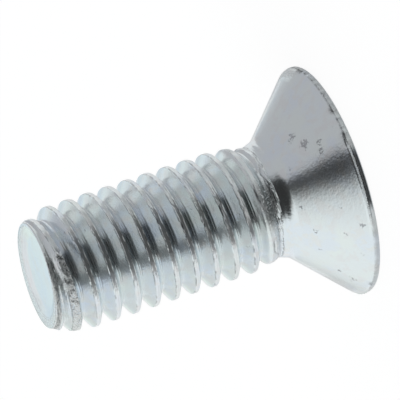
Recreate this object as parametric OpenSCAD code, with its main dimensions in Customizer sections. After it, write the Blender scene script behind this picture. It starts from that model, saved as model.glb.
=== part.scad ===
// Countersunk machine screw with a cross recess, standing on its head.
// The origin is the centre of the head's flat face, and +Z runs along the shank to the tip.
// All sizes are in millimetres.

/* [Screw] */
// Overall length from the head's face to the middle of the tip
length = 12; // [9:0.05:16]
// Diameter of the plain neck, which is the blank that the thread is rolled on
neck_d = 4.48; // [4.3:0.02:4.6]
// Length of the plain neck between the fillet and the thread
neck_length = 0.05; // [0.05:0.05:1]
// Radius of the fillet between the neck and the cone
neck_fillet = 0.65; // [0.3:0.05:1.3]

/* [Head] */
// Diameter of the head over its rim
head_d = 8.95; // [8.4:0.05:10.2]
// Angle between opposite sides of the countersunk cone
head_angle = 90; // [80:1:100]
// Height of the rim between the flat face and the cone
rim_h = 0.26; // [0.24:0.02:0.8]
// Rounding of the edge between the rim and the flat face
face_round = 0.1; // [0.02:0.01:0.11]
// Rounding of the edge between the rim and the cone
cone_round = 0.3; // [0.02:0.01:0.32]

/* [Thread] */
// Diameter over the thread's crests
thread_d = 4.85; // [4.7:0.05:5.1]
// Distance from one crest to the next
pitch = 0.8; // [0.65:0.05:1]
// Angle between the two flanks of a groove
flank_angle = 60; // [50:1:64]
// Length over which the root fades into the neck
root_run = 0.8; // [0.4:0.1:2]
// Length over which the crest fades into the neck
crest_run = 1.5; // [0.6:0.1:2.4]
// Turn of the thread's start about the axis, in degrees
thread_start = 167; // [-180:1:180]

/* [Tip] */
// Diameter of the tip where the lead-in ends
tip_d = 4.1; // [3.9:0.02:4.5]
// Length of the rounded lead-in
lead_in = 1.6; // [0.6:0.1:2.4]
// Slant of the cropped end face against the axis, in degrees
tip_slant = 3.5; // [0:0.5:6]
// Diameter of the hollow in the end face
hollow_d = 3.6; // [2:0.1:3.7]
// Depth of the hollow in the end face
hollow_depth = 0.2; // [0.05:0.01:0.35]

/* [Cross recess] */
// Size across opposite wings at the head's face
recess_d = 5.2; // [4.6:0.1:5.8]
// Depth of the wings below the head's face
recess_depth = 2.9; // [2.2:0.1:3.2]
// Width of a wing at the head's face
wing_w = 1.15; // [0.9:0.05:1.4]
// Angle between the ends of opposite wings
recess_angle = 53; // [46:1:58]
// Lean of each wing's side and of the core's wall, in degrees
wing_draft = 4.5; // [1:0.5:6]
// Angle of the cone at the bottom of the recess
point_angle = 140; // [120:1:150]

/* [Hidden] */

// Facets of the thread to a turn, and of the revolved shapes where they are drawn as facets
thread_sides = 48;
$fn = 96;

// Overlap that carries a cut past the face it starts from
past = 0.5;
// The threaded rod is this much slimmer than the neck that it runs into
rod_inset = 0.01;
// A rolled thread's depth, crest flat and roundings as shares of its pitch
depth_share = 0.575;
crest_share = 0.21;
crest_round_share = 0.012;
root_round_share = 0.04;
// Straight pieces in the curve of the lead-in, and its fullness: 1 is a quarter wave, less is rounder
lead_steps = 6;
lead_fullness = 0.7;
// Height of the cone that backs the end face's rim, and how far the rim stands out from it
backing_h = 0.4;
rim_lip = 0.04;
// Room between the ends of the wings and the wall of the core, at their bottom
core_margin = 0.04;

head_r = head_d / 2;
neck_r = neck_d / 2;
crest_r = thread_d / 2;
tip_r = tip_d / 2;

// Heights above the head's face: the corner of cone and neck, the end of its fillet, the start of the thread
cone_slope = tan(head_angle / 2);
cone_end = rim_h + (head_r - neck_r) / cone_slope;
fillet_run = neck_fillet * tan(head_angle / 4);
fillet_end = cone_end + fillet_run;
neck_end = fillet_end + neck_length;

// Thread section over one pitch, from root to root
thread_depth = depth_share * pitch;
root_r = crest_r - thread_depth;
crest_half = crest_share * pitch / 2;
crest_edge_r = crest_r - crest_round_share * pitch;
root_edge_r = root_r + root_round_share * pitch;
flank_run = (crest_edge_r - root_edge_r) * tan(flank_angle / 2);
thread_section = [
    [-pitch / 2, root_r],
    [-crest_half - flank_run, root_edge_r],
    [-crest_half, crest_edge_r],
    [0, crest_r],
    [crest_half, crest_edge_r],
    [crest_half + flank_run, root_edge_r],
];
per_pitch = len(thread_section);

// The rod starts inside the neck and ends past the slanted tip, and is cropped there
tip_top = length + tip_r * tan(tip_slant);
rod_low = neck_end - 1.5 * pitch;
rod_turns = ceil((tip_top + past - rod_low) / pitch) + 1;
rod_rows = rod_turns * per_pitch;

// The recess: wings at their bottom, and a core just wide enough to hold them there
wing_low_l = recess_d - 2 * recess_depth * tan(recess_angle / 2);
wing_low_w = wing_w - 2 * recess_depth * tan(wing_draft);
core_low_r = norm([wing_low_l, wing_low_w]) / 2 + core_margin;
core_face_r = core_low_r + recess_depth * tan(wing_draft);
point_h = core_low_r / tan(point_angle / 2);

screw();

module screw() {
    color("#c3c9cc")
        difference() {
            union() {
                head_and_neck();
                threaded_shank();
            }
            cross_recess();
            end_hollow();
        }
}

// Flat face, rounded rim, cone, fillet and neck as one turned shape
module head_and_neck() {
    rotate_extrude()
        difference() {
            union() {
                polygon([
                    [0, 0],
                    [head_r, 0],
                    [head_r, rim_h],
                    [neck_r, cone_end],
                    [neck_r, neck_end],
                    [0, neck_end],
                ]);
                neck_fillet_section();
            }
            face_edge_waste();
            cone_edge_waste();
        }
}

// Corner between cone and neck, filled up to an arc that is tangent to both
module neck_fillet_section() {
    along_cone = [sin(head_angle / 2), -cos(head_angle / 2)] * fillet_run;
    difference() {
        polygon([
            [neck_r, cone_end],
            [neck_r + along_cone.x, cone_end + along_cone.y],
            [neck_r, fillet_end],
        ]);
        translate([neck_r + neck_fillet, fillet_end])
            circle(r = neck_fillet);
    }
}

// What the rounding takes from the corner of rim and flat face
module face_edge_waste() {
    difference() {
        translate([head_r - face_round, -past])
            square([face_round + past, face_round + past]);
        translate([head_r - face_round, face_round])
            circle(r = face_round);
    }
}

// What the rounding takes from the corner of rim and cone
module cone_edge_waste() {
    run = cone_round * tan(head_angle / 4);
    difference() {
        polygon([
            [head_r, rim_h - run],
            [head_r + past, rim_h - run],
            [head_r + past, rim_h + past],
            [head_r - sin(head_angle / 2) * run, rim_h + cos(head_angle / 2) * run],
        ]);
        translate([head_r - cone_round, rim_h - run])
            circle(r = cone_round);
    }
}

// Threaded rod cropped to the lead-in and to the slanted end
module threaded_shank() {
    intersection() {
        union() {
            thread_rod();
            rim_backing();
        }
        difference() {
            lead_in_envelope();
            at_tip()
                translate([0, 0, past + length / 2])
                    cube([4 * crest_r, 4 * crest_r, 2 * past + length], center = true);
        }
    }
}

// Moves its children from the origin to the middle of the slanted end face
module at_tip() {
    translate([0, 0, length])
        rotate([0, tip_slant, 0])
            children();
}

// Cone under the end face's rim, where the first groove would leave only a thin lip
module rim_backing() {
    low_r = root_r - rim_lip;
    end_r = tip_r - rim_lip;
    past_r = end_r + (end_r - low_r) * past / backing_h;
    at_tip()
        translate([0, 0, -backing_h])
            cylinder(h = backing_h + past, r1 = low_r, r2 = past_r);
}

// Turned shape that clears the crests and closes in on the tip along a full quarter wave
module lead_in_envelope() {
    clear_r = crest_r + past;
    shoulder_r = crest_r + 2 * rod_inset;
    curve = [for (step = [0:lead_steps])
        let (share = step / lead_steps)
        [tip_r + (shoulder_r - tip_r) * pow(cos(90 * share), lead_fullness), length - lead_in * (1 - share)]];
    rotate_extrude()
        polygon(concat(
            [[0, rod_low - pitch], [clear_r, rod_low - pitch], [clear_r, length - lead_in]],
            curve,
            [[tip_r, tip_top + past], [0, tip_top + past]]
        ));
}

// Right-hand thread as one wound surface: each column stands a little higher than the one before,
// and the last column meets the first one pitch further up.
module thread_rod() {
    columns = [for (i = [0:thread_sides - 1]) for (k = [0:rod_rows - 1]) rod_point(i, k)];
    hubs = [[0, 0, rod_low], [0, 0, rod_low + (rod_turns - 0.5) * pitch]];
    low_hub = len(columns);
    top_hub = low_hub + 1;
    last = rod_rows - 1;
    wall = [for (i = [0:thread_sides - 1]) for (k = [0:last - 1])
        if (i < thread_sides - 1 || k + per_pitch < last)
            each [
                [rod_index(i, k), rod_index(i, k + 1), rod_index(i + 1, k + 1)],
                [rod_index(i, k), rod_index(i + 1, k + 1), rod_index(i + 1, k)],
            ]];
    low_loop = concat(
        [for (i = [0:thread_sides - 1]) rod_index(i, 0)],
        [for (k = [per_pitch:-1:1]) rod_index(0, k)]
    );
    top_loop = concat(
        [for (k = [last - per_pitch:last - 1]) rod_index(thread_sides - 1, k)],
        [for (i = [thread_sides - 1:-1:0]) rod_index(i, last)]
    );
    polyhedron(concat(columns, hubs), concat(wall, fan(low_loop, low_hub), fan(top_loop, top_hub)));
}

// Point k of column i, on the thread's section between root and crest
function rod_point(i, k) =
    let (
        section = thread_section[k % per_pitch],
        angle = thread_start + 360 * i / thread_sides,
        z = rod_low + pitch * (floor(k / per_pitch) + i / thread_sides) + section[0],
        plain_r = neck_r - rod_inset,
        run = section[1] > plain_r ? crest_run : root_run,
        r = plain_r + (section[1] - plain_r) * ease((z - neck_end) / run)
    )
    [r * cos(angle), r * sin(angle), z];

// Index of point k of column i, where the column after the last is the first one, a pitch higher
function rod_index(i, k) =
    i < thread_sides ? i * rod_rows + k : (i - thread_sides) * rod_rows + k + per_pitch;

// Triangles from a hub to each edge of a closed loop
function fan(loop, hub) =
    [for (j = [0:len(loop) - 1]) [hub, loop[j], loop[(j + 1) % len(loop)]]];

// Smooth rise from 0 to 1
function ease(t) =
    let (share = max(0, min(1, t)))
    share * share * (3 - 2 * share);

// Shallow round hollow that the cropped end is left with
module end_hollow() {
    hollow_r = hollow_d / 2;
    ball_r = (hollow_r * hollow_r + hollow_depth * hollow_depth) / (2 * hollow_depth);
    at_tip()
        translate([0, 0, ball_r - hollow_depth])
            sphere(r = ball_r);
}

// Four tapered wings round a tapered core with a conical bottom
module cross_recess() {
    wing_pair();
    rotate([0, 0, 90])
        wing_pair();
    core();
}

// Two opposite wings: tapered along their length by one outline and across it by the other
module wing_pair() {
    intersection() {
        tapered_slab(recess_d, wing_low_l);
        rotate([0, 0, 90])
            tapered_slab(wing_w, wing_low_w);
    }
}

// Slab along Y whose X width goes from face_w at the head's face to low_w at the wings' bottom
module tapered_slab(face_w, low_w) {
    lean = (face_w - low_w) / 2 / recess_depth;
    rotate([90, 0, 0])
        linear_extrude(2 * recess_d, center = true)
            polygon([
                [-face_w / 2 - lean * past, -past],
                [face_w / 2 + lean * past, -past],
                [low_w / 2, recess_depth],
                [-low_w / 2, recess_depth],
            ]);
}

// Round core of the recess, open at the head's face
module core() {
    lean = tan(wing_draft);
    translate([0, 0, -past])
        cylinder(h = past + recess_depth, r1 = core_face_r + lean * past, r2 = core_low_r);
    translate([0, 0, recess_depth])
        cylinder(h = point_h, r1 = core_low_r, r2 = 0);
}
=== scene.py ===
# %% [markdown]
# # A countersunk machine screw in bright zinc plate
# The screw is one piece of steel: a flat head with a cone under it, a short neck and a rolled thread
# that ends in a cropped tip. It stands on its head. The packed CAD model gives the frame, in metres,
# and everything here is built round it. Loading it first means that nothing has to be fitted later.

# %% Load the packed screw
import math

import bpy
import numpy as np
from mathutils import Matrix, Vector


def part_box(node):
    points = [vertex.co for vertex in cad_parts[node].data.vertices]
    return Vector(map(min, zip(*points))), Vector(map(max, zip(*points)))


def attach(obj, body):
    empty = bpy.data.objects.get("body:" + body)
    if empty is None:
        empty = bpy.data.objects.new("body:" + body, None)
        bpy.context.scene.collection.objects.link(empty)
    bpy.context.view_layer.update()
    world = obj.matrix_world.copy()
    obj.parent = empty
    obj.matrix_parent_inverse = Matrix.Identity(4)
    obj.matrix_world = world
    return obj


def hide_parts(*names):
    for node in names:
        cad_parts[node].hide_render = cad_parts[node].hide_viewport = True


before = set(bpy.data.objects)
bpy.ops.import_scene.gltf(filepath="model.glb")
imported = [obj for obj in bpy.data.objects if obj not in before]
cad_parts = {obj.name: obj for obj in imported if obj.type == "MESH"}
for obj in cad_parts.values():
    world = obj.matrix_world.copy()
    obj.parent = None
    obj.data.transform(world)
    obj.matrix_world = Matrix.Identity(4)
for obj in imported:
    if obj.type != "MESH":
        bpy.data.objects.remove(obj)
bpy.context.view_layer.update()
MM = 0.001

# %% [markdown]
# ## The sizes
# A screw is drawn from few sizes, so they are kept together, in millimetres, and turned into metres once,
# when the mesh is made. The head's radius is read from the frame. The rest are the sizes of a 5 mm
# screw with a pitch of 0.8 mm, the same as in the CAD source.

# %% Sizes of the screw
node_low, node_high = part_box("screw")
HEAD_R = (node_high.x - node_low.x) / 2 / MM
LENGTH = 12.0
NECK_R = 2.24
NECK_LENGTH = 0.05
FILLET_R = 0.65
RIM_H = 0.26
CONE_ANGLE = math.radians(45)
FACE_ROUND = 0.1
CONE_ROUND = 0.3
CREST_R = 2.425
PITCH = 0.8
THREAD_DEPTH = 0.46
CREST_FLAT = 0.168
ROOT_RUN = 0.8
CREST_RUN = 1.5
THREAD_START = math.radians(167)
TIP_R = 2.05
LEAD_IN = 1.6
LEAD_FULLNESS = 0.7
TIP_LEAN = math.tan(math.radians(3.5))

ROOT_R = CREST_R - THREAD_DEPTH
CONE_END = RIM_H + HEAD_R - NECK_R
FILLET_END = CONE_END + FILLET_R * math.tan(CONE_ANGLE / 2)
NECK_END = FILLET_END + NECK_LENGTH
print(f"head {2 * HEAD_R:.2f} mm wide, thread from {NECK_END:.2f} to {LENGTH:.2f} mm")

# %% [markdown]
# ## The camera
# The photograph looks a little down on the tip, from the side, with the screw leaning to the left.
# A long lens far away keeps the lines almost parallel. The camera can be turned by its three axes:
# its right, its up and its back are the columns of its matrix, which is the plainest way to give it a roll.

# %% Camera at the photograph's angle
ELEVATION = math.radians(15.23)
ROLL = math.radians(18.53)
DISTANCE = 220.56
LENS, SENSOR = 530.7, 36
NEAR_CLIP, FAR_CLIP = 0.01, 10
AIM = Vector((0, 0, 5.933))
AIM_RIGHT, AIM_DOWN = 0.5026, -1.032

back = Vector((0, -math.cos(ELEVATION), math.sin(ELEVATION)))
upright = Vector((0, math.sin(ELEVATION), math.cos(ELEVATION)))
sideways = Vector((1, 0, 0))
right = -math.cos(ROLL) * upright - math.sin(ROLL) * sideways
down = math.sin(ROLL) * upright - math.cos(ROLL) * sideways
aim = AIM + AIM_RIGHT * right + AIM_DOWN * down

camera = bpy.data.objects.new("camera", bpy.data.cameras.new("camera"))
camera.data.sensor_width = SENSOR
camera.data.lens = LENS
camera.data.clip_start = NEAR_CLIP
camera.data.clip_end = FAR_CLIP
turned = Matrix((right, -down, back)).transposed().to_4x4()
camera.matrix_world = Matrix.Translation((aim + DISTANCE * back) * MM) @ turned
bpy.context.scene.collection.objects.link(camera)
bpy.context.scene.camera = camera
bpy.context.scene.view_settings.view_transform = "Standard"
print("camera at, mm:", [round(x / MM, 1) for x in camera.location])

# %% [markdown]
# ## Shader maths as Python
# Node trees are easier to read as formulas. This class wraps a socket, so that adding or multiplying
# two wrapped sockets adds a Math node. Every other node comes from the method `node`, which sets the
# node's settings first, then its sockets, and hands back the output that is asked for.

# %% The wrapped socket
class Wire:
    def __init__(self, socket):
        self.socket = socket

    @staticmethod
    def node(tree, kind, settings=None, inputs=None, out=0):
        made = tree.nodes.new(kind)
        for name, value in (settings or {}).items():
            if name == "stops":
                Wire.set_stops(made.color_ramp, value)
            else:
                setattr(made, name, value)
        for name, value in (inputs or {}).items():
            if isinstance(value, Wire):
                tree.links.new(value.socket, made.inputs[name])
            else:
                made.inputs[name].default_value = value
        return Wire(made.outputs[out]) if made.outputs else made

    @staticmethod
    def set_stops(ramp, stops):
        while len(ramp.elements) < len(stops):
            ramp.elements.new(1)
        for element, (place, shade) in zip(ramp.elements, stops):
            element.position = place
            element.color = shade

    def math(self, operation, first, second=0.0):
        tree = self.socket.id_data
        return Wire.node(tree, "ShaderNodeMath", {"operation": operation}, {0: first, 1: second})

    def __add__(self, other):
        return self.math("ADD", self, other)

    __radd__ = __add__

    def __mul__(self, other):
        return self.math("MULTIPLY", self, other)

    __rmul__ = __mul__

    def __sub__(self, other):
        return self.math("SUBTRACT", self, other)

    def __rsub__(self, other):
        return self.math("SUBTRACT", other, self)

    def __truediv__(self, other):
        return self.math("DIVIDE", self, other)

    def __rtruediv__(self, other):
        return self.math("DIVIDE", other, self)

    def rise(self, low, high):
        """Smooth step from 0 at low to 1 at high."""
        return Wire.node(
            self.socket.id_data, "ShaderNodeMapRange", {"interpolation_type": "SMOOTHSTEP"},
            {"Value": self, "From Min": low, "From Max": high})


def new_tree(owner):
    owner.use_nodes = True
    owner.node_tree.nodes.clear()
    return owner.node_tree


def split(tree, vector):
    """The three numbers of a vector, each as a wire."""
    parts = Wire.node(tree, "ShaderNodeSeparateXYZ", None, {"Vector": vector}).socket.node
    return [Wire(socket) for socket in parts.outputs]


def blend(tree, share, first, second):
    """Mix of two colours, from first at 0 to second at 1."""
    return Wire.node(
        tree, "ShaderNodeMix", {"data_type": "RGBA"}, {"Factor": share, 6: first, 7: second}, 2)


reflected = [name for name in vars(Wire) if name.startswith("__r")]
print("wrapped socket with", len(reflected), "reflected operators")

# %% [markdown]
# ## The light tent
# Bright metal shows what stands round it. In the photograph that is a white tent with an opening for the
# camera, which runs up towards the top as a narrowing dark gap: it gives the dark stripe along the screw.
# Low down the opening is wider and one of its edges is softer, which shows in the grooves of the thread.
# The side at the top of the picture is a dimmer lilac grey, paler behind the screw. Area lamps could do
# this, but a world painted by direction gives soft edges without noise. It is fixed in the room, so it
# stays put in other views.

# %% Colours and edges of the tent
LOW_SIDE = (0.93, 0.96, 0.96, 1)
LOW_NEAR = (0.68, 0.70, 0.70, 1)
HIGH_SIDE = (0.50, 0.50, 0.52, 1)
HIGH_FAR = (0.86, 0.92, 0.92, 1)
FAR_LOW = (0.86, 0.96, 0.91, 1)
FAR_HIGH = (0.70, 0.81, 0.88, 1)
WHITE = (1, 1, 1, 1)
BLUE_CAST = 1.02


def grey(level):
    return (level, level, level * BLUE_CAST, 1)


# Brightness between the two sides, from the camera's opening over the top to the far wall
CEILING = [(0.0, grey(0.03)), (0.15, grey(0.04)), (0.2, grey(0.05)), (0.375, grey(0.052)),
           (0.45, grey(0.1)), (0.52, grey(0.32)), (0.6, grey(0.75)), (0.8, grey(0.88)), (1.0, grey(0.93))]
# Each pair is where a soft change starts and ends, along an axis of the direction or, for a fade, past a
# side's edge
OPENING, TOWARD, LOW_DOWN = (0.35, 0.85), (0.0, 0.5), (0.35, 0.6)
FAR_WALL, FAR_TURN = (0.75, 0.97), (-0.16, 0.16)
NEAR_FADE, SIDE_FADE = (-0.14, 0.2), (0.05, 0.45)
SHARP_FADE, SOFT_FADE = (-0.03, 0.04), (-0.15, 0.25)
BEHIND_X, BEHIND_Y, BEHIND_Z = (0.38, 0.5), (0.55, 0.9), (0.1, 0.3)
# Where the two sides begin, and how far the opening pushes them out
LOW_AT, LOW_BACK, LOW_PUSH, LOW_WIDER = 0.2, 0.2, 0.46, 0.34
HIGH_AT, HIGH_PUSH = 0.24, 0.35
print(len(CEILING), "stops from the opening to the far wall")

# %% World painted by direction
world = bpy.data.worlds.new("light_tent")
bpy.context.scene.world = world
tree = new_tree(world)
facing = Wire.node(tree, "ShaderNodeTexCoord", None, None, "Generated")
face_x, face_y, face_z = split(tree, facing)
ceiling = Wire.node(tree, "ShaderNodeValToRGB", {"stops": CEILING}, {"Fac": 0.5 + 0.5 * face_y})
opening = (0 - face_y).rise(*OPENING)
toward = (0 - face_y).rise(*TOWARD)
low_down = 1 - face_z.rise(*LOW_DOWN)
past_low = LOW_BACK * toward - (LOW_PUSH + LOW_WIDER * low_down) * opening - LOW_AT - face_x
past_high = face_x - HIGH_AT - HIGH_PUSH * opening
far_wall = blend(tree, face_x.rise(*FAR_TURN), FAR_LOW, FAR_HIGH)
tent = blend(tree, face_y.rise(*FAR_WALL), ceiling, far_wall)
tent = blend(tree, past_low.rise(*NEAR_FADE), tent, LOW_NEAR)
tent = blend(tree, past_low.rise(*SIDE_FADE), tent, LOW_SIDE)
behind = face_y.rise(*BEHIND_Y) * face_z.rise(*BEHIND_Z) * (1 - face_x.rise(*BEHIND_X))
high_side = blend(tree, behind, HIGH_SIDE, HIGH_FAR)
sharp_edge, soft_edge = past_high.rise(*SHARP_FADE), past_high.rise(*SOFT_FADE)
tent = blend(tree, sharp_edge + low_down * (soft_edge - sharp_edge), tent, high_side)
seen = Wire.node(tree, "ShaderNodeLightPath", None, None, "Is Camera Ray")
tent = blend(tree, seen, tent, WHITE)
sky = Wire.node(tree, "ShaderNodeBackground", None, {"Color": tent, "Strength": 1.0})
Wire.node(tree, "ShaderNodeOutputWorld", None, {"Surface": sky})
print("world:", len(tree.nodes), "nodes")

# %% [markdown]
# ## The floor
# The screw stands on a white sheet that fills the picture. A plain white floor under soft light comes
# out pale grey, so part of its brightness is given to camera, glossy and transmission rays alone.
# In reflections the sheet is brighter on the low side of the picture, a little so close in front, and in a
# patch behind the screw on the high side. The rest is an ordinary matt white that keeps the soft shadow.

# %% White sheet under the screw
FLOOR_HALF = 2.0


def flat_square(name, half, height):
    corners = [(-half, -half, height), (half, -half, height), (half, half, height), (-half, half, height)]
    mesh = bpy.data.meshes.new(name)
    mesh.from_pydata(corners, [], [(0, 1, 2, 3)])
    square = bpy.data.objects.new(name, mesh)
    bpy.context.scene.collection.objects.link(square)
    return square


sheet = flat_square("sheet", FLOOR_HALF, 0)
print("sheet", 2 * FLOOR_HALF, "m wide")

# %% Glow of the sheet
SHEET_SHADE = (0.9, 0.9, 0.9, 1)
GLOW = 1.12
SEEN_GLOW, BASE_GLOW, LOW_GLOW, CLOSE_GLOW, BEYOND_GLOW = 0.8, 0.2, 0.55, 0.1, 0.38
# Each pair is where a soft change starts and ends on the sheet, in metres; the slant is a ratio
LOW_RUN = (-0.004, 0.02)
CLOSE_START, CLOSE_END = (0.004, 0.006), (-0.02, -0.014)
BEYOND_X, BEYOND_Y = (0.0045, 0.008), (0.0, 0.004)
HEAD_SLANT, HEAD_AWAY = (0.45, 0.75), (0.012, 0.016)

paper = bpy.data.materials.new("white_sheet")
tree = new_tree(paper)
spot = Wire.node(tree, "ShaderNodeTexCoord", None, None, "Object")
spot_x, spot_y = split(tree, spot)[:2]
away = Wire.node(tree, "ShaderNodeVectorMath", {"operation": "LENGTH"}, {0: spot}, "Value")
close = (0 - spot_y).rise(*CLOSE_START) * spot_y.rise(*CLOSE_END)
past_head = 1 - (spot_y / spot_x).rise(*HEAD_SLANT) * (1 - away.rise(*HEAD_AWAY))
beyond = spot_y.rise(*BEYOND_Y) * spot_x.rise(*BEYOND_X) * past_head
side_glow = BASE_GLOW + LOW_GLOW * (0 - spot_x).rise(*LOW_RUN)
side_glow = side_glow + CLOSE_GLOW * close + BEYOND_GLOW * beyond
seen = Wire.node(tree, "ShaderNodeLightPath", None, None, "Is Camera Ray")
mirrored = Wire.node(tree, "ShaderNodeLightPath", None, None, "Is Glossy Ray")
through = Wire.node(tree, "ShaderNodeLightPath", None, None, "Is Transmission Ray")
share = SEEN_GLOW * seen + side_glow * (mirrored + through)
matt = Wire.node(tree, "ShaderNodeBsdfDiffuse", None, {"Color": SHEET_SHADE})
glow = Wire.node(tree, "ShaderNodeEmission", None, {"Color": WHITE, "Strength": GLOW})
lit = Wire.node(tree, "ShaderNodeMixShader", None, {0: share, 1: matt, 2: glow})
Wire.node(tree, "ShaderNodeOutputMaterial", None, {"Surface": lit})
sheet.data.materials.append(paper)
print("sheet:", len(tree.nodes), "nodes")

# %% [markdown]
# ## The black card
# What lies in front of the screw in the photograph is as dark as the opening above it, since the crests,
# the roots and the neck are nearly black where they face the camera. Photographers lay down a black card
# for that. This one is a wide square that a mask makes clear nearly everywhere: the dark part lies in front
# and has feathered sides, a strip across it is mostly clear, which gives the flanks their mid grey, and far
# out on the high side a thin shade dims the sheet. It shows in reflections only, so the sheet stays white.

# %% Black card in front of the screw
CARD_HALF = 0.5
CARD_LIFT = 0.00005

# A dark sheet that only reflections see: a painted dark reflection in the crests, roots and neck
card = flat_square("black_card", CARD_HALF, CARD_LIFT)
card.visible_camera = False
card.visible_diffuse = False
card.visible_shadow = False
card.visible_transmission = False
print("card", 2 * CARD_HALF, "m wide")

# %% Mask of the card
# Tone of the painted dark reflection
REFLECTED_SHADE = (0.15, 0.15, 0.15, 1)
# Each pair is where a soft change starts and ends. These are leans, sideways by forward
OUTER_LEAN, INNER_LEAN, HIGH_LEAN = (-6.0, -1.2), (-1.6, -0.3), (0.3, 2.4)
STRIP_LOW, STRIP_MIDDLE, STRIP_HIGH = (-2.0, -0.8), (-0.65, -0.05), (0.4, 1.4)
RIM_LOW, RIM_HIGH = (-0.4, -0.28), (0.12, 0.3)
# These are distances in metres
STRIP_START, STRIP_END = (0.0055, 0.007), (0.0135, 0.0175)
RIM_REACH, FRONT_REACH, DIM_AWAY = (0.0055, 0.0065), (0.002, 0.0035), (0.019, 0.027)
# These are bearings from straight in front, in radians
DIM_FROM, DIM_TO = (0.2, 0.7), (1.5, 1.9)
OUTER_SHARE, INNER_SHARE = 0.55, 0.45
LOW_SHADE, MIDDLE_SHADE, DIM_SHADE = 0.85, 0.15, 0.33

reflected_shade = bpy.data.materials.new("reflected_shade_card")
tree = new_tree(reflected_shade)
spot = Wire.node(tree, "ShaderNodeTexCoord", None, None, "Object")
spot_x, spot_y = split(tree, spot)[:2]
reach = 0 - spot_y
lean = spot_x / reach
bearing = lean.math("ARCTAN2", spot_x, reach)
away = Wire.node(tree, "ShaderNodeVectorMath", {"operation": "LENGTH"}, {0: spot}, "Value")
sides = OUTER_SHARE * lean.rise(*OUTER_LEAN) + INNER_SHARE * lean.rise(*INNER_LEAN)
whole = sides * (1 - lean.rise(*HIGH_LEAN))
middle = lean.rise(*STRIP_MIDDLE)
low_part = LOW_SHADE * lean.rise(*STRIP_LOW) * (1 - middle)
shade = low_part + MIDDLE_SHADE * middle * (1 - lean.rise(*STRIP_HIGH))
strip = reach.rise(*STRIP_START) * (1 - reach.rise(*STRIP_END))
below_rim = (1 - reach.rise(*RIM_REACH)) * (1 - lean.rise(*RIM_LOW) * (1 - lean.rise(*RIM_HIGH)))
dim_high = DIM_SHADE * away.rise(*DIM_AWAY) * bearing.rise(*DIM_FROM) * (1 - bearing.rise(*DIM_TO))
cover = reach.rise(*FRONT_REACH) * (whole + strip * (shade - whole)) * (1 - below_rim)
cover = cover + (1 - cover) * dim_high
clear = Wire.node(tree, "ShaderNodeBsdfTransparent")
dark = Wire.node(tree, "ShaderNodeBsdfDiffuse", None, {"Color": REFLECTED_SHADE})
lit = Wire.node(tree, "ShaderNodeMixShader", None, {0: cover, 1: clear, 2: dark})
Wire.node(tree, "ShaderNodeOutputMaterial", None, {"Surface": lit})
card.data.materials.append(reflected_shade)
print("card:", len(tree.nodes), "nodes")

# %% [markdown]
# ## The thread's section
# A rolled thread has straight flanks at 60 degrees to each other, a narrow rounded crest and a small
# root, which here slopes a little towards the tip. A drawn section swept by a Screw modifier would do for a
# plain rod, but this thread fades into the neck and closes in on the tip, so the radius is worked out for
# every point. A soft minimum and maximum round the corners where the flank meets the crest and the root.

# %% Soft corners and the thread's radius
FLANK_SLOPE = math.tan(math.radians(30))
CREST_BLEND = 0.05
ROOT_BLEND = 0.075
ROOT_TILT, ROOT_SHARP, ROOT_HALF = 0.16, 0.04, 0.1


def soft_min(first, second, width):
    share = np.clip(0.5 + 0.5 * (second - first) / width, 0, 1)
    return second + (first - second) * share - width * share * (1 - share)


def soft_max(first, second, width):
    return -soft_min(-first, -second, width)


def ease(share):
    share = np.clip(share, 0, 1)
    return share * share * (3 - 2 * share)


def thread_section(offset):
    """Radius of the full thread at a distance along the axis from the crest's middle."""
    flank = CREST_R + (CREST_FLAT / 2 - np.abs(offset)) / FLANK_SLOPE
    from_root = np.clip(offset - PITCH / 2 * np.sign(offset), -ROOT_HALF, ROOT_HALF)
    root = ROOT_R - ROOT_SHARP - ROOT_TILT * from_root
    return soft_max(soft_min(flank, CREST_R, CREST_BLEND), root, ROOT_BLEND)


steps = np.linspace(0, PITCH / 2, 5)
print("radius from crest to root:", np.round(thread_section(steps), 3))

# %% [markdown]
# ## Columns and rows
# The whole skin is a grid: columns stand side by side round the axis and rows run from the bottom of the
# drive recess over the face, the cone and the thread to the middle of the tip. In the thread each
# column starts a little higher than the one before, so the rows follow the crest and one turn ends a
# pitch above its start. That keeps every crest a clean line instead of a staircase.

# %% Columns round the axis
COLUMNS = 224
TURN = np.arange(COLUMNS) / COLUMNS
ANGLE = THREAD_START + 2 * np.pi * TURN
COS, SIN = np.cos(ANGLE), np.sin(ANGLE)
points, quads, wear, dirt_and_shade = [], [], [], []


def ring(radius, height):
    """One closed row of points; radius and height are numbers or one value to a column."""
    return np.stack([radius * COS, radius * SIN, height + 0 * COS], axis=1)


def add_band(rows, climb=0, worn=0.0, grime=0.0):
    """Quads between neighbouring rows; climb is how many rows one turn rises,
    and worn and grime say how scuffed and how dark each point is, from dirt and painted shade."""
    start = sum(len(block) for block in points)
    count = len(rows)
    index = start + np.arange(count * COLUMNS).reshape(count, COLUMNS)
    beside = np.roll(index, -1, axis=1)
    beside[:, -1] = np.concatenate([index[climb:, 0], np.full(climb, -1)])
    made = np.stack([index[:-1], beside[:-1], beside[1:], index[1:]], axis=-1).reshape(-1, 4)
    points.append(rows.reshape(-1, 3))
    quads.append(made[(made >= 0).all(axis=1)])
    wear.append(np.broadcast_to(worn, rows.shape[:2]).reshape(-1))
    dirt_and_shade.append(np.broadcast_to(grime, rows.shape[:2]).reshape(-1))


print(COLUMNS, "columns")

# %% [markdown]
# ## The drive recess
# The head's flat face lies on the floor, so the recess can't be seen in the photograph. A cross recess with
# four tapering wings round a core is what such a screw most often has. A Boolean could cut it out of the
# head. Walking its outline by angle keeps it in the grid, with the corners of the wings always at the same
# columns, so that their edges stay sharp from the face to the bottom.

# %% Outline of the cross
RECESS_D, RECESS_DEPTH = 5.2, 2.9
WING_W, WING_DRAFT = 1.15, math.tan(math.radians(4.5))
END_DRAFT = math.tan(math.radians(26.5))
CORE_LOW_R = 1.245
END_STEPS, SIDE_STEPS, CORE_STEPS = 10, 12, 22
TINY = 1e-9


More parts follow.
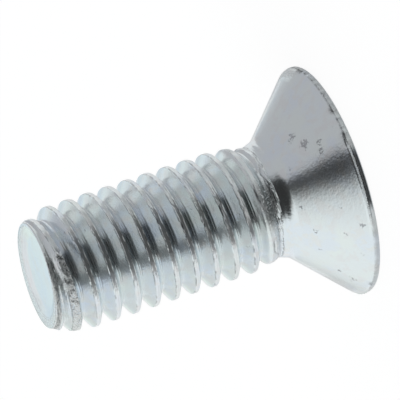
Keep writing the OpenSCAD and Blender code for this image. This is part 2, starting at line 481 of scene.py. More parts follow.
def cross_outline(depth, spread):
    """Points of the cross at a depth under the face, wider by spread all round."""
    half_l = RECESS_D / 2 - depth * END_DRAFT + spread
    half_w = WING_W / 2 - depth * WING_DRAFT + spread
    core = CORE_LOW_R + (RECESS_DEPTH - depth) * WING_DRAFT + spread
    corner = math.atan2(half_w, half_l)
    inner = max(math.asin(min(1.0, half_w / core)), corner)
    quarter = np.concatenate([
        np.linspace(-corner, corner, END_STEPS, endpoint=False),
        np.linspace(corner, inner, SIDE_STEPS, endpoint=False),
        np.linspace(inner, math.pi / 2 - inner, CORE_STEPS, endpoint=False),
        np.linspace(math.pi / 2 - inner, math.pi / 2 - corner, SIDE_STEPS, endpoint=False)])
    along, across = np.abs(np.cos(quarter)), np.maximum(np.abs(np.sin(quarter)), TINY)
    wing = np.minimum(half_l / along, half_w / across)
    next_wing = np.minimum(half_l / across, half_w / along)
    reach = np.tile(np.maximum(np.maximum(wing, next_wing), core), 4)
    around = np.concatenate([quarter + k * math.pi / 2 for k in range(4)])
    flat = np.stack([reach * np.cos(around), reach * np.sin(around), np.full(len(around), depth)], axis=1)
    turn_back = round((-THREAD_START) / (2 * math.pi) * COLUMNS) - END_STEPS // 2
    return np.roll(flat, turn_back, axis=0)


assert 4 * (END_STEPS + 2 * SIDE_STEPS + CORE_STEPS) == COLUMNS
print("cross", RECESS_D, "mm across and", RECESS_DEPTH, "mm deep")

# %% Cross recess and flat face
POINT_H = 0.453
EDGE_EASE = 0.05
FACE_START = 3.0
POINT_ROWS, WALL_ROWS, EDGE_ROWS, FACE_ROWS = 6, 12, 4, 5

recess = [ring(share * CORE_LOW_R, RECESS_DEPTH + POINT_H * (1 - share))
          for share in np.linspace(0, 1, POINT_ROWS)]
recess += [cross_outline(depth, 0) for depth in np.linspace(RECESS_DEPTH, EDGE_EASE, WALL_ROWS)]
recess += [cross_outline(EDGE_EASE * (1 - math.sin(a)), EDGE_EASE * (1 - math.cos(a)))
           for a in np.linspace(0, math.pi / 2, EDGE_ROWS)[1:]]
recess += [ring(radius, 0) for radius in np.linspace(FACE_START, HEAD_R - FACE_ROUND, FACE_ROWS)]
add_band(np.array(recess))
print("recess and face:", len(recess), "rows")

# %% [markdown]
# ## Wear round the head
# Handling has nicked the rim, rubbed it into bright beads in places and left it dirty in others, and a dark
# line runs along its edge and wall, heavier on one side. Such wear could be painted by hand. Here it is a
# set of arcs round the axis and of values that wander round the screw, because these can drive the shape
# and the colour at the same time.

# %% Arcs and wandering values
NICK_DEPTH, NICK_LEVEL, NICK_MOST = 0.035, 1.0, 1.5
# Middle and half width of each arc, in degrees
RUBBED = [(-96, 20), (58, 14), (165, 24)]
KNOCKED = [(-4, 12), (120, 9)]
STRUCK = [(-19, 3), (-57, 2), (-72, 2), (100, 3), (200, 2)]
SMUDGED = [(-84, 8), (40, 12), (175, 10)]
CRISP, SOFT = 0.4, 1.2
BEAD_MEAN, BEAD_SWING = 0.75, 0.5
DARK_MEAN, DARK_SWING = 0.7, 0.4
DARK_EVEN, DARK_ONE_SIDE = 0.55, 0.45
WAVE_COUNT = 12


def waves(seed, low, high):
    """A wandering value round the screw, mostly between -1 and 1, which closes on itself."""
    draw = np.random.default_rng(seed)
    turns = draw.integers(low, high, WAVE_COUNT)
    phase = draw.uniform(0, 2 * np.pi, WAVE_COUNT)
    return np.sin(ANGLE[:, None] * turns + phase).sum(axis=1) / math.sqrt(WAVE_COUNT)


def arcs(spans, soft):
    """1 on the arcs and 0 elsewhere. The ends of an arc fade over soft times its half width."""
    total = 0 * ANGLE
    for middle, half in spans:
        away = np.abs(np.angle(np.exp(1j * (ANGLE - math.radians(middle)))))
        total = np.maximum(total, ease((math.radians(half) - away) / (soft * math.radians(half)) + 0.5))
    return total


rubbed, knocked, struck = arcs(RUBBED, CRISP), arcs(KNOCKED, CRISP), arcs(STRUCK, CRISP)
smudged = arcs(SMUDGED, SOFT)
beading = np.clip(BEAD_MEAN + BEAD_SWING * waves(seed=5, low=20, high=100), 0, 1)
patchy_darkening = np.clip(DARK_MEAN + DARK_SWING * waves(seed=4, low=5, high=90), 0, 1)
# A dark line along the rim's edge and wall, broken where it is rubbed and heavier towards +x
edge_darkening = (1 - rubbed) * (DARK_EVEN + DARK_ONE_SIDE * ease(0.5 + COS)) * patchy_darkening
nicks = NICK_DEPTH * np.clip(waves(seed=3, low=9, high=70) - NICK_LEVEL, 0, NICK_MOST)
print("nicks up to", round(float(nicks.max()), 3), "mm")

# %% [markdown]
# ## Rim, cone and fillet
# The head is a turned form: a rounded edge, a low rim, a second rounded edge, the cone at 45 degrees and
# a fillet that sweeps into the neck. Spin would make it from a profile, but as rows of rings it joins the
# thread without a seam, and each ring can take its share of the nicks, the beads and the wear.

# %% Profile of the head
FACE_EDGE_ROWS, CONE_EDGE_ROWS, CONE_ROWS, FILLET_ROWS = 6, 16, 26, 12

face_edge = [(HEAD_R - FACE_ROUND + FACE_ROUND * math.sin(a), FACE_ROUND - FACE_ROUND * math.cos(a))
             for a in np.linspace(0, math.pi / 2, FACE_EDGE_ROWS)]
cone_run = CONE_ROUND * math.tan(CONE_ANGLE / 2)
cone_edge = [(HEAD_R - CONE_ROUND + CONE_ROUND * math.cos(a), RIM_H - cone_run + CONE_ROUND * math.sin(a))
             for a in np.linspace(0, CONE_ANGLE, CONE_EDGE_ROWS)]
fillet = [(NECK_R + FILLET_R - FILLET_R * math.cos(a), FILLET_END - FILLET_R * math.sin(a))
          for a in np.linspace(CONE_ANGLE, 0, FILLET_ROWS)]
cone_low, cone_high = cone_edge[-1], fillet[0]
cone = [(cone_low[0] + (cone_high[0] - cone_low[0]) * s, cone_low[1] + (cone_high[1] - cone_low[1]) * s)
        for s in np.linspace(0, 1, CONE_ROWS)[1:-1]]
profile = face_edge + cone_edge + cone + fillet
print("profile:", len(profile), "points")

# %% Turned head
BEAD_H, BEAD_HALF = 0.04, 0.032
NICK_REACH, FACE_CLEAR = 0.3, 0.01
UNDERCUT, UNDERCUT_RUN = 0.3, 0.12
# Height, half height and strength of each kind of wear, dirt and dark line
EDGE_AT, EDGE_HALF, EDGE_WEAR = 0.21, 0.07, 0.6
WALL_AT, WALL_HALF, WALL_DARK = 0.14, 0.13, 0.6
KNOCK_AT, KNOCK_HALF, KNOCK_WEAR = 0.45, 0.2, 0.7
STRIKE_AT, STRIKE_HALF, STRIKE_DIRT = 0.27, 0.1, 0.7
SMUDGE_FROM, SMUDGE_IN, SMUDGE_TO, SMUDGE_OUT, SMUDGE_DIRT = 0.45, 0.1, 1.6, 0.5, 0.35


def hump(height, middle, half):
    """1 at the middle, and 0 from half above and below it."""
    return ease(1 - np.abs(height - middle) / half)


head_rows, head_worn, head_darkening = [], [], []
for radius, height in profile:
    near_rim = hump(height, RIM_H / 2, NICK_REACH) * (height > FACE_CLEAR)
    sunk = UNDERCUT * max(height - FILLET_END + UNDERCUT_RUN, 0)
    bead = BEAD_H * rubbed * beading * math.exp(-((height - EDGE_AT) / BEAD_HALF) ** 2)
    head_rows.append(ring(radius + bead - nicks * near_rim - sunk, height))
    on_edge = hump(height, EDGE_AT, EDGE_HALF)
    on_wall = hump(height, WALL_AT, WALL_HALF)
    on_cone = ease((height - SMUDGE_FROM) / SMUDGE_IN) * ease((SMUDGE_TO - height) / SMUDGE_OUT)
    knock = KNOCK_WEAR * knocked * hump(height, KNOCK_AT, KNOCK_HALF)
    strike = STRIKE_DIRT * struck * hump(height, STRIKE_AT, STRIKE_HALF)
    line = np.maximum(on_edge, WALL_DARK * on_wall) * edge_darkening
    head_worn.append(EDGE_WEAR * on_edge * rubbed + knock)
    head_darkening.append(line + strike + SMUDGE_DIRT * smudged * on_cone)
add_band(np.array(head_rows), worn=np.array(head_worn), grime=np.array(head_darkening))
print("head:", len(head_rows), "rows")

# %% [markdown]
# ## The rolled shank
# Rolling presses the thread into the blank. At the neck, crest and root fade into the plain rod, and the
# dies leave a ragged lip there. At the tip a lead-in trims the crests. The rows sit closer
# together at the crest's corners and in the root, because that is where the light turns.

# %% Patches of random value over the shank
PATCH_ROWS, PATCH_SHIFT = 512, 7
# Each kind of patch has its seed, its number to a turn and its height in mm
UNEVEN_PATCH, DENT_PATCH = (12, 100, 0.3), (11, 120, 0.09)


def mottle(height, seed, around, step):
    """A wandering value between -1 and 1: around patches to a turn, each step mm tall."""
    table = np.random.default_rng(seed).uniform(-1, 1, (around, PATCH_ROWS))
    across, up = TURN * around, height / step + PATCH_SHIFT
    i, j = np.floor(across).astype(int), np.floor(up).astype(int)
    side, rise = ease(across - i), ease(up - j)
    low = table[i % around, j] * (1 - side) + table[(i + 1) % around, j] * side
    high = table[i % around, j + 1] * (1 - side) + table[(i + 1) % around, j + 1] * side
    return low * (1 - rise) + high * rise


print("dent patches about", round(2 * math.pi * CREST_R / DENT_PATCH[1], 2), "mm wide")

# %% Rows that follow the crest
# Distances of the rows from the crest's middle, as shares of the pitch
ROW_SHARES = np.array([0, 0.04, 0.07, 0.09, 0.108, 0.126, 0.15, 0.2, 0.26, 0.32, 0.375, 0.425, 0.465])
offsets = np.concatenate([-ROW_SHARES[:0:-1], ROW_SHARES, [0.5]]) * PITCH
PER_PITCH = len(offsets)
ROD_LOW = NECK_END - 1.5 * PITCH
ROOM_ABOVE = 0.5
TURNS = math.ceil((LENGTH + ROOM_ABOVE - ROD_LOW) / PITCH) + 1


def nearest_crest(height):
    """Distance along the axis from the nearest crest, positive towards the tip."""
    turns_up = (height - ROD_LOW) / PITCH - TURN
    return (turns_up - np.round(turns_up)) * PITCH


print(PER_PITCH, "rows to a pitch,", TURNS, "turns")

# %% [markdown]
# ## Crests as the dies leave them
# Steel flows up between the dies from both flanks and meets at the crest, so a rolled crest has a fine seam
# in its middle and a small lip on each edge. The lips catch the light as two thin lines. They could be
# painted, but then they wouldn't glint from every side, so they are part of the mesh.

# %% Rolled crests
SEAM_DEPTH, SEAM_HALF, SEAM_OFF = 0.003, 0.03, 0.015
CREST_LIP, CREST_LIP_HALF = 0.009, 0.013
CREST_EDGE, CREST_SOFT = 0.02, 0.03
UNEVEN_MEAN, UNEVEN_SWING = 0.5, 0.8
DENT_DEPTH = 0.005
DIE_LINE, DIE_LINE_STEP = 0.006, 0.1
# Heights on the screw where the die lines come in and go out, in mm
DIE_FROM, DIE_IN, DIE_TO, DIE_OUT = 2.9, 0.15, 3.5, 0.4
TIP_SIDE_WEAR, HEAD_SIDE_WEAR = 0.7, 0.4
# Strength of the painted shade along the seam and over the crest's flat
SEAM_PAINTED_SHADE, CREST_PAINTED_SHADE = 0.15, 0.05


def rolled_thread(height):
    """Radius of the rolled thread at a height on every column, with its wear and the painted shade on its
    crest.
    """
    offset = nearest_crest(height)
    full = thread_section(offset) - NECK_R
    climb = height - NECK_END
    radius = NECK_R + full * ease(climb / np.where(full > 0, CREST_RUN, ROOT_RUN))
    formed = ease(climb / CREST_RUN)
    crest = formed * ease((CREST_FLAT / 2 + CREST_EDGE - np.abs(offset)) / CREST_SOFT)
    uneven = np.clip(UNEVEN_MEAN + UNEVEN_SWING * mottle(height, *UNEVEN_PATCH), 0, 1)
    lip = np.exp(-((np.abs(offset) - CREST_FLAT / 2) / CREST_LIP_HALF) ** 2)
    seam = np.exp(-((offset + SEAM_OFF) / SEAM_HALF) ** 2)
    dents = DENT_DEPTH * np.clip(mottle(height, *DENT_PATCH), 0, 1)
    radius = radius + formed * (CREST_LIP * uneven * lip - SEAM_DEPTH * seam) - crest * dents
    die_lines = ease((height - DIE_FROM) / DIE_IN) * ease((DIE_TO - height) / DIE_OUT)
    radius = radius + DIE_LINE * die_lines * np.sin(2 * np.pi * offset / DIE_LINE_STEP)
    rubbed_edge = formed * lip * uneven * np.where(offset > 0, TIP_SIDE_WEAR, HEAD_SIDE_WEAR)
    # The last value is painted shade: a dark line along the seam and a slightly darker crest flat
    return radius, rubbed_edge, formed * (SEAM_PAINTED_SHADE * seam + CREST_PAINTED_SHADE * crest)


print("largest radius at 6 mm:", np.round(rolled_thread(6 + 0 * COS)[0].max(), 3), "mm")

# %% [markdown]
# ## The ragged lip at the neck
# Where the thread runs out, the dies push up a thin ragged lip towards the head, with cracks behind it. Its
# edge to the head is steep and its back is gentle, and behind it the steel is stained in places. A sculpted
# brush would give one such lip; values that wander round the screw give the same look on every run.

# %% Lip and cracks
LIP_AT, LIP_STEEP, LIP_BACK, LIP_HEIGHT, LIP_START = 2.875, 0.03, 0.16, 0.065, 0.03
LIP_SLOW, LIP_FAST = 0.03, 0.025
SLOW_PATCH, FAST_PATCH = (13, 26, 1.0), (14, 80, 1.0)
THICK_MEAN, THICK_COARSE, THICK_FINE, THICK_MOST = 0.4, 0.7, 0.4, 1.2
COARSE_PATCH, FINE_PATCH = (15, 18, 0.2), (16, 90, 0.06)
# The cracks, the bright edge and the stain are placed in mm above the lip's edge
CRACK_DEPTH, CRACK_DIRT = 0.03, 0.7
CRACK_AT, CRACK_WANDER, CRACK_HALF, CRACK_LEVEL = 0.15, 0.07, 0.025, 0.6
CRACK_PATCH, CRACK_GAPS = (17, 30, 1.0), (18, 16, 1.0)
SECOND_AT, SECOND_WANDER, SECOND_HALF, SECOND_LEVEL = 0.3, 0.13, 0.03, 0.3
SECOND_PATCH, SECOND_GAPS = (19, 30, 1.0), (20, 14, 1.0)
BRIGHT_AT, BRIGHT_HALF, BRIGHT_LEAST = 0.03, 0.05, 0.2
STAIN_FROM, STAIN_IN, STAIN_TO, STAIN_OUT = 0.05, 0.12, 0.4, 0.6
STAIN_BASE, STAIN_DEEP = 0.06, 1.1
STAIN_EVEN, STAIN_LINED, STAIN_LINE_STEP = 0.8, 0.2, 0.07
UNDERCUT_OUT = 0.3
STAINED = [(-93, 20), (25, 25), (140, 30)]
stained = arcs(STAINED, SOFT)


def neck_lip(height):
    """Height of the lip on every column, with its wear and its dark cracks."""
    level = 0 * height
    edge = LIP_AT + LIP_SLOW * mottle(level, *SLOW_PATCH) + LIP_FAST * mottle(level, *FAST_PATCH)
    above = height - edge
    body = ease((height - FILLET_END) / LIP_START) * ease(above / LIP_STEEP) * (1 - ease(above / LIP_BACK))
    thick = THICK_MEAN + THICK_COARSE * mottle(height, *COARSE_PATCH)
    thick = np.clip(thick + THICK_FINE * mottle(height, *FINE_PATCH), 0, THICK_MOST)
    first = np.exp(-((above - CRACK_AT - CRACK_WANDER * mottle(level, *CRACK_PATCH)) / CRACK_HALF) ** 2)
    first = first * ease(mottle(level, *CRACK_GAPS) + CRACK_LEVEL)
    second = np.exp(-((above - SECOND_AT - SECOND_WANDER * mottle(level, *SECOND_PATCH)) / SECOND_HALF) ** 2)
    crack = np.maximum(first, second * ease(mottle(level, *SECOND_GAPS) + SECOND_LEVEL))
    bright = hump(above, BRIGHT_AT, BRIGHT_HALF) * np.clip(BRIGHT_LEAST + thick, 0, 1)
    under = np.minimum(height, edge) - FILLET_END + UNDERCUT_RUN
    sunk = UNDERCUT * under * (1 - ease(above / UNDERCUT_OUT))
    lift = LIP_HEIGHT * body * thick - sunk - CRACK_DEPTH * crack
    behind_lip = ease((above - STAIN_FROM) / STAIN_IN) * (1 - ease((above - STAIN_TO) / STAIN_OUT))
    lines = 0.5 + 0.5 * np.sin(2 * np.pi * nearest_crest(height) / STAIN_LINE_STEP)
    stain = behind_lip * (STAIN_BASE + STAIN_DEEP * stained) * (STAIN_EVEN + STAIN_LINED * lines)
    return lift, np.clip(bright, 0, 1), np.clip(CRACK_DIRT * crack + stain, 0, 1)


at_lip = neck_lip(LIP_AT + LIP_STEEP + 0 * COS)[0]
print("skin at the lip, mm from the plain rod:", np.round([at_lip.min(), at_lip.max()], 3))

# %% [markdown]
# ## The lead-in
# The blank's end was rounded before rolling, so the last turns are lower. The very last crest is torn and
# rough, with dirt behind its ridge, and on one side it is only partly filled. The envelope is a quarter wave
# that closes on the tip, a little off the axis, and it trims the thread by a soft minimum. A cone behind the
# end face fills what would be a sharp groove there.

# %% Trim to the tip
TIP_EDGE = 0.07
TIP_SHIFT_X, TIP_SHIFT_Y = 0.08, -0.05
BACKING_H, BACKING_BLEND, RIM_LIP = 0.4, 0.05, 0.04
CAP_ROOM, CAP_BLEND, CUT_SOFT = 0.02, 0.04, 0.05
UNFILLED, UNFILLED_FROM, UNFILLED_IN = 0.55, 11.1, 0.35
UNFILLED_SIDE, UNFILLED_SOFT = 0.1, 0.9
END_LINE = LENGTH - TIP_LEAN * TIP_R * COS
off_axis = TIP_SHIFT_X * COS + TIP_SHIFT_Y * SIN


def trim(radius, height):
    """Radius trimmed to the tip on every column, and where the crests are cut."""
    lacking = UNFILLED * ease((COS + UNFILLED_SIDE) / UNFILLED_SOFT)
    lacking = lacking * ease((height - UNFILLED_FROM) / UNFILLED_IN)
    radius = radius - lacking * np.maximum(radius - ROOT_R, 0)
    share = np.clip((height - (LENGTH - LEAD_IN)) / LEAD_IN, 0, 1)
    closing = np.cos(np.pi / 2 * share) ** LEAD_FULLNESS
    cap = TIP_R + (CREST_R + CAP_ROOM - TIP_R) * closing + off_axis * share
    below_end = END_LINE - height
    backing = TIP_R - RIM_LIP + off_axis - (TIP_R - ROOT_R) * below_end / BACKING_H
    radius = np.where(below_end < 2 * BACKING_H, soft_max(radius, backing, BACKING_BLEND), radius)
    cut = ease((radius - cap + CAP_ROOM) / CUT_SOFT) * (share > 0)
    return np.where(share > 0, soft_min(radius, cap, CAP_BLEND), radius), cut


print("end face between", round(float(END_LINE.min()), 2), "and", round(float(END_LINE.max()), 2), "mm")

# %% Torn last crest
# What is torn, the flank, the chamfer and the ridge are placed in mm below the end face
TORN_DEPTH, TORN_FROM, TORN_IN = 0.05, 0.2, 0.15
TORN_FINE, TORN_COARSE, COARSE_SHARE, TORN_RAISED = (21, 110, 0.06), (22, 40, 0.2), 0.6, -0.3
TORN_EVEN, TORN_ONE_SIDE = 0.6, 0.4
SPECKLE_PATCH, SPECKLE_MEAN, SPECKLE_SWING = (23, 110, 0.06), 0.4, 1.2
SPECKLE_EVEN, SPECKLE_STAINED, SPECKLE_HIDES = 0.3, 0.7, 0.6
FLANK_FROM, FLANK_TO, FLANK_SOFT = 0.2, 0.52, 0.1
CHAMFER_TO, CHAMFER_SOFT = 0.24, 0.08
CHAMFER_EVEN, CHAMFER_ONE_SIDE = 0.15, 0.85
RIDGE_AT, RIDGE_SOFT, RIDGE_DIRT = 0.28, 0.08, 0.8
TORN_WEAR, FLANK_WEAR, CHAMFER_WEAR = 0.9, 0.25, 0.8
SCUFFED_MEAN, SCUFFED_SWING = 0.55, 0.8
scuffed_side = ease(SCUFFED_MEAN - SCUFFED_SWING * COS)


def lead_in(radius, height):
    """Radius of the trimmed and torn thread on every column, with its wear and its dark speckles."""
    radius, cut = trim(radius, height)
    below_end = END_LINE - height
    torn = cut * ease((below_end - TORN_FROM) / TORN_IN)
    torn_deep = mottle(height, *TORN_FINE) + COARSE_SHARE * mottle(height, *TORN_COARSE)
    radius = radius - TORN_DEPTH * torn * np.clip(torn_deep, TORN_RAISED, 1)
    torn = torn * (TORN_EVEN + TORN_ONE_SIDE * scuffed_side)
    flank = ease((FLANK_TO - below_end) / FLANK_SOFT) * ease((below_end - FLANK_FROM) / FLANK_SOFT)
    chamfer = ease((CHAMFER_TO - below_end) / CHAMFER_SOFT)
    speckled = ease(SPECKLE_MEAN + SPECKLE_SWING * mottle(height, *SPECKLE_PATCH))
    speckled = (SPECKLE_EVEN + SPECKLE_STAINED * stained) * speckled
    behind_ridge = RIDGE_DIRT * stained * ease((below_end - RIDGE_AT) / RIDGE_SOFT)
    torn_dark = torn * np.maximum(speckled, behind_ridge)
    side_wear = scuffed_side * np.maximum(FLANK_WEAR * flank, CHAMFER_WEAR * chamfer)
    worn = np.maximum(TORN_WEAR * torn * (1 - SPECKLE_HIDES * torn_dark), side_wear)
    return radius, worn, np.maximum(chamfer * (CHAMFER_EVEN + CHAMFER_ONE_SIDE * scuffed_side), torn_dark)


print("torn up to", TORN_DEPTH, "mm deep")

# %% Threaded shank
def shank_skin(height):
    """Radius of the shank at a height on every column, how scuffed it is there and how dark."""
    radius, crest_worn, crest_painted_shade = rolled_thread(height)
    lip, lip_worn, lip_grime = neck_lip(height)
    radius, tip_wear, tip_grime = lead_in(radius + lip, height)
    worn = np.maximum(np.maximum(crest_worn, lip_worn), tip_wear)
    grime = np.maximum(np.maximum(crest_painted_shade, lip_grime), tip_grime)
    return radius, worn, grime


shank_rows, shank_worn, shank_grime_and_shade = [], [], []
for turn in range(TURNS):
    for offset in offsets:
        height = ROD_LOW + PITCH * (turn - 1 + TURN) + offset
        height = np.clip(height, FILLET_END, END_LINE - TIP_EDGE)
        radius, worn, grime = shank_skin(height)
        shank_rows.append(ring(radius, height))
        shank_worn.append(worn)
        shank_grime_and_shade.append(grime)
add_band(np.array(shank_rows), PER_PITCH, np.array(shank_worn), np.array(shank_grime_and_shade))
print("shank:", len(shank_rows), "rows")

# %% [markdown]
# ## The cropped tip
# The blank was cropped a few degrees out of square, and rolling drew its skin past its middle, which
# leaves a shallow cup with a rounded rim. A Boolean could cut the cup, but as rows that turn over the
# rim and run to the middle of the cup it stays part of the same grid.

# %% Tip with its cup
CUP_R, CUP_DEPTH = 1.77, 0.16
CUP_OFF_X, CUP_OFF_Y = 0.19, -0.26
CUP_BOWL, CUP_STEP, CUP_STEP_RUN = 0.45, 0.55, 0.25
LAND_WEAR, LAND_AT, LAND_SOFT = 0.55, 0.93, 0.1
EDGE_WEAR_EVEN, EDGE_WEAR_ONE_SIDE = 0.2, 0.6
TIP_EDGE_ROWS, CUP_ROWS = 6, 34
rim_r = shank_skin(END_LINE - TIP_EDGE)[0]


def cup(row):
    """Drops the points of a row to the slanted end face and into its cup; also says where the land is."""
    away = np.hypot(row[:, 0] - CUP_OFF_X, row[:, 1] - CUP_OFF_Y) / CUP_R
    sink = CUP_BOWL * np.clip(1 - away ** 2, 0, 1) + CUP_STEP * ease((1 - away) / CUP_STEP_RUN)
    row[:, 2] = LENGTH - TIP_LEAN * row[:, 0] - CUP_DEPTH * sink
    return row, LAND_WEAR * ease((away - LAND_AT) / LAND_SOFT)


tip_rows, tip_worn = [], []
for a in np.linspace(0, math.pi / 2, TIP_EDGE_ROWS):
    tip_rows.append(ring(rim_r - TIP_EDGE * (1 - math.cos(a)), END_LINE - TIP_EDGE * (1 - math.sin(a))))
    tip_worn.append(EDGE_WEAR_EVEN + EDGE_WEAR_ONE_SIDE * math.sin(2 * a) * scuffed_side)
for share in np.linspace(1, 0, CUP_ROWS)[1:]:
    row, land = cup(ring((rim_r - TIP_EDGE) * share, 0))
    tip_rows.append(row)
    tip_worn.append(land)
add_band(np.array(tip_rows), worn=np.array(tip_worn))
print("tip:", len(tip_rows), "rows")

# %% [markdown]
# ## One closed skin
# A real screw's surface is one closed skin. The bands share their border points, so points at the same
# place become one, quads that shrink to a line are dropped and quads that shrink to a triangle are kept as
# one. Blender can merge by distance too, but joined here, the wear, the dirt and the painted shade stay in
# step with the points.

# %% Join the bands into one mesh
KEEP = 1e-5
SHARP_ANGLE = math.radians(38)

everything = np.concatenate(points)
cells = np.round(everything / KEEP).astype(np.int64)
first, joined = np.unique(cells, axis=0, return_index=True, return_inverse=True)[1:]
joined = joined.reshape(-1)
faces = []
for quad in joined[np.concatenate(quads)].tolist():
    loop = [v for k, v in enumerate(quad) if v != quad[k - 1]]
    if len(set(loop)) >= 3 and len(set(loop)) == len(loop):
        faces.append(loop)
skin = bpy.data.meshes.new("plated_screw")
skin.from_pydata((everything[first] * MM).tolist(), [], faces)
skin.polygons.foreach_set("use_smooth", [True] * len(skin.polygons))
skin.set_sharp_from_angle(angle=SHARP_ANGLE)
# The dark values carry dirt and the painted shade of the crests
for name, values in [("worn", wear), ("grime", dirt_and_shade)]:
    skin.attributes.new(name, "FLOAT", "POINT").data.foreach_set("value", np.concatenate(values)[first])
skin.update()
screw = bpy.data.objects.new("plated_screw", skin)
bpy.context.scene.collection.objects.link(screw)
print("skin:", len(first), "points,", sum(len(face) - 2 for face in faces), "triangles")

# %% Test that the skin is closed
edge_uses = {}
for face in faces:
    for k in range(len(face)):
        edge = tuple(sorted((face[k], face[k - 1])))
        edge_uses[edge] = edge_uses.get(edge, 0) + 1
print("open edges:", sum(1 for uses in edge_uses.values() if uses != 2))

# %% [markdown]
# ## Bright zinc plate
# Electroplated zinc with a clear passivation is a bright, faintly bluish metal. Its grain is fine and its
# tint wanders between a bluish, a greenish and a slightly warmer white. A flat colour would look like
# chrome, so three layers of noise at different scales mix the tints.

# %% Tint of the plating
ZINC = (0.775, 0.825, 0.84, 1)
ZINC_GREEN = (0.785, 0.835, 0.825, 1)
ZINC_BLUE = (0.755, 0.81, 0.86, 1)
ZINC_WARM = (0.775, 0.80, 0.805, 1)
# Each pair is where a soft change of the noise starts and ends
GREEN_FADE, BLUE_FADE, WARM_FADE = (0.42, 0.66), (0.46, 0.64), (0.5, 0.62)
GREEN_SCALE, BLUE_SCALE, WARM_SCALE = 0.55, 0.9, 2.3
FINER = 3.0

zinc = bpy.data.materials.new("bright_zinc_plate")
tree = new_tree(zinc)
place = Wire.node(tree, "ShaderNodeTexCoord", None, None, "Object")
place_mm = Wire.node(tree, "ShaderNodeVectorMath", {"operation": "SCALE"}, {0: place, "Scale": 1 / MM})


def noise(scale, detail=2.0):
    return Wire.node(tree, "ShaderNodeTexNoise", None, {"Vector": place_mm, "Scale": scale, "Detail": detail})


tint = blend(tree, noise(GREEN_SCALE).rise(*GREEN_FADE), ZINC, ZINC_GREEN)
tint = blend(tree, noise(BLUE_SCALE, FINER).rise(*BLUE_FADE), tint, ZINC_BLUE)
tint = blend(tree, noise(WARM_SCALE, FINER).rise(*WARM_FADE), tint, ZINC_WARM)
print("tint:", len(tree.nodes), "nodes")

# %% [markdown]
# ## Small marks
# The cone has a handful of small dark marks where other screws struck it in the plating barrel. Each is a
# place on the cone, given by its angle, its distance from the axis and its size, and noise shifts and breaks
# its outline. Two more lie on the thread. Smaller pits are strewn over the whole screw by a Voronoi texture,
# of which most cells stay empty.

# %% Marks
# Angle in degrees, distance from the axis and size in mm
MARKS = [(-51, 3.13, 0.10), (-54, 3.03, 0.05), (-62, 3.32, 0.10), (-67, 3.76, 0.08), (-72, 3.67, 0.08),
         (-75, 3.54, 0.03), (-71, 2.63, 0.03), (-103, 2.58, 0.04), (-108, 2.68, 0.03), (-107, 3.67, 0.03),
         (-125, 2.86, 0.05), (-125, 3.68, 0.05), (-143, 2.90, 0.05), (-118, 4.22, 0.06), (-137, 4.19, 0.04),
         (-163, 3.96, 0.06), (-160, 3.55, 0.05), (20, 3.4, 0.08), (75, 3.8, 0.1), (110, 3.0, 0.06)]
# Place and size in mm
THREAD_MARKS = [((1.24, -1.82, 10.88), 0.07), ((-1.16, -1.99, 6.05), 0.05)]
MARK_GROWTH, MARK_FADE = 1.5, (-0.02, 0.03)
PATCHY_SCALE, PATCHY_FADE = 12.0, (0.38, 0.55)
WOBBLE_SCALE, WOBBLE_REACH, NOISE_MIDDLE = 8.0, (0.5, 0.5, 0.5), (0.5, 0.5, 0.5)

wobble = Wire.node(tree, "ShaderNodeTexNoise", None, {"Vector": place_mm, "Scale": WOBBLE_SCALE}, "Color")
wobble = Wire.node(tree, "ShaderNodeVectorMath", {"operation": "SUBTRACT"}, {0: wobble, 1: NOISE_MIDDLE})
warped = Wire.node(
    tree, "ShaderNodeVectorMath", {"operation": "MULTIPLY_ADD"}, {0: wobble, 1: WOBBLE_REACH, 2: place_mm})
patchy = noise(PATCHY_SCALE).rise(*PATCHY_FADE)


def cone_place(angle, radius):
    turn = math.radians(angle)
    return (radius * math.cos(turn), radius * math.sin(turn), RIM_H + HEAD_R - radius)


def mark(centre, size):
    away = Wire.node(tree, "ShaderNodeVectorMath", {"operation": "DISTANCE"}, {0: warped, 1: centre}, "Value")
    return (size - away).rise(*MARK_FADE)


spots = [(cone_place(angle, radius), MARK_GROWTH * size) for angle, radius, size in MARKS] + THREAD_MARKS
marks = patchy * sum(mark(*spot) for spot in spots)
print(len(spots), "marks")

# %% Pits
PIT_SIZE, PIT_CELLS, PIT_FADE = 0.035, 1.6, (-0.02, 0.02)
PIT_SHARE, PIT_STEP = 0.35, 0.02

pit_cells = Wire.node(tree, "ShaderNodeTexVoronoi", None, {"Vector": warped, "Scale": PIT_CELLS}).socket.node
kept = split(tree, Wire(pit_cells.outputs["Color"]))[0].rise(1 - PIT_SHARE, 1 + PIT_STEP - PIT_SHARE)
pits = kept * patchy * (PIT_SIZE - Wire(pit_cells.outputs["Distance"]) / PIT_CELLS).rise(*PIT_FADE)
print("a pit in about", round(100 * PIT_SHARE), "% of the cells")

# %% [markdown]
# ## Wear, grain and finish
# Rolling and tumbling scuff the edges to a paler, rougher grey, and fine dark lines run beside them.
# Both could be painted on a texture. Here the wear and the darkening that were worked out with the mesh come
# in as attributes and are broken up by a fine speckle, so that no edge gets a drawn line. The darkening is
# dirt in places and painted shade along the seam and over the flat of each crest. The bump holds the grain
# of the plating, a slight peel, a slower ripple that makes the edges of reflections ragged, and the dents.
# Scuffed plating is less of a mirror, and where the darkening is thick the plating is duller.

# %% Wear, dirt and painted shade
SCUFFED = (0.92, 0.93, 0.91, 1)
SOILED_AND_SHADED = (0.155, 0.16, 0.16, 1)
DULL = (0.42, 0.43, 0.45, 1)
COVER = 0.85
SCUFF_FADE, SOIL_AND_SHADE_FADE = (0.4, 0.56), (0.25, 0.5)
GRAIN_SCALE, RIPPLE_SCALE, SPECKLE_SCALE, SOIL_AND_SHADE_SCALE = 12.0, 5.0, 13.0, 15.0

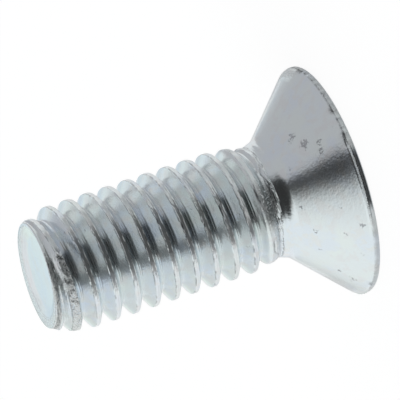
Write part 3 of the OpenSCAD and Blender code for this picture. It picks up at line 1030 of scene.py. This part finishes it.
worn = Wire.node(tree, "ShaderNodeAttribute", {"attribute_name": "worn"}, None, "Fac")
grime = Wire.node(tree, "ShaderNodeAttribute", {"attribute_name": "grime"}, None, "Fac")
grain, ripple, speckle = noise(GRAIN_SCALE, FINER), noise(RIPPLE_SCALE), noise(SPECKLE_SCALE, FINER)
scuff = worn * speckle.rise(*SCUFF_FADE)
soil_and_shade = grime * noise(SOIL_AND_SHADE_SCALE).rise(*SOIL_AND_SHADE_FADE)
# Darkens with dirt and with the painted shade along the crests
tint = blend(tree, COVER * soil_and_shade, tint, SOILED_AND_SHADED)
tint = blend(tree, COVER * scuff, tint, SCUFFED)
tint = blend(tree, COVER * (marks + pits), tint, DULL)
print("wear and dirt:", len(tree.nodes), "nodes")

# %% Zinc material
PEEL_SCALE = 10.0
PEEL, GRAIN, RIPPLE, SCUFF_LIFT, SCUFF_GRIT, DENT = 0.2, 0.4, 0.3, 2, 8, 1.5
BUMP_HEIGHT = 0.000008
SMOOTH, GRAINY, WORN_ROUGH, SOIL_AND_SHADE_ROUGH = 0.14, 0.08, 0.1, 0.3
THICK_SOIL_AND_SHADE = (0.3, 0.9)
SCUFF_MATT = 0.65

peel = Wire.node(
    tree, "ShaderNodeTexVoronoi", {"feature": "SMOOTH_F1"}, {"Vector": place_mm, "Scale": PEEL_SCALE})
relief = PEEL * peel + GRAIN * grain + RIPPLE * ripple
relief = relief + worn * (SCUFF_LIFT + SCUFF_GRIT * speckle) - DENT * (marks + pits)
bump = Wire.node(tree, "ShaderNodeBump", None, {"Strength": 1.0, "Distance": BUMP_HEIGHT, "Height": relief})
roughness = SMOOTH + GRAINY * grain + WORN_ROUGH * worn + SOIL_AND_SHADE_ROUGH * soil_and_shade.rise(*THICK_SOIL_AND_SHADE)
finish = Wire.node(tree, "ShaderNodeBsdfPrincipled", None, {
    "Base Color": tint, "Metallic": 1 - SCUFF_MATT * scuff, "Roughness": roughness, "Normal": bump})
Wire.node(tree, "ShaderNodeOutputMaterial", None, {"Surface": finish})
skin.materials.append(zinc)
print("zinc:", len(tree.nodes), "nodes")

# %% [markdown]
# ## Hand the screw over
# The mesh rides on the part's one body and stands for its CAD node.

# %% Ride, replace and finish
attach(screw, "root")
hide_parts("screw")
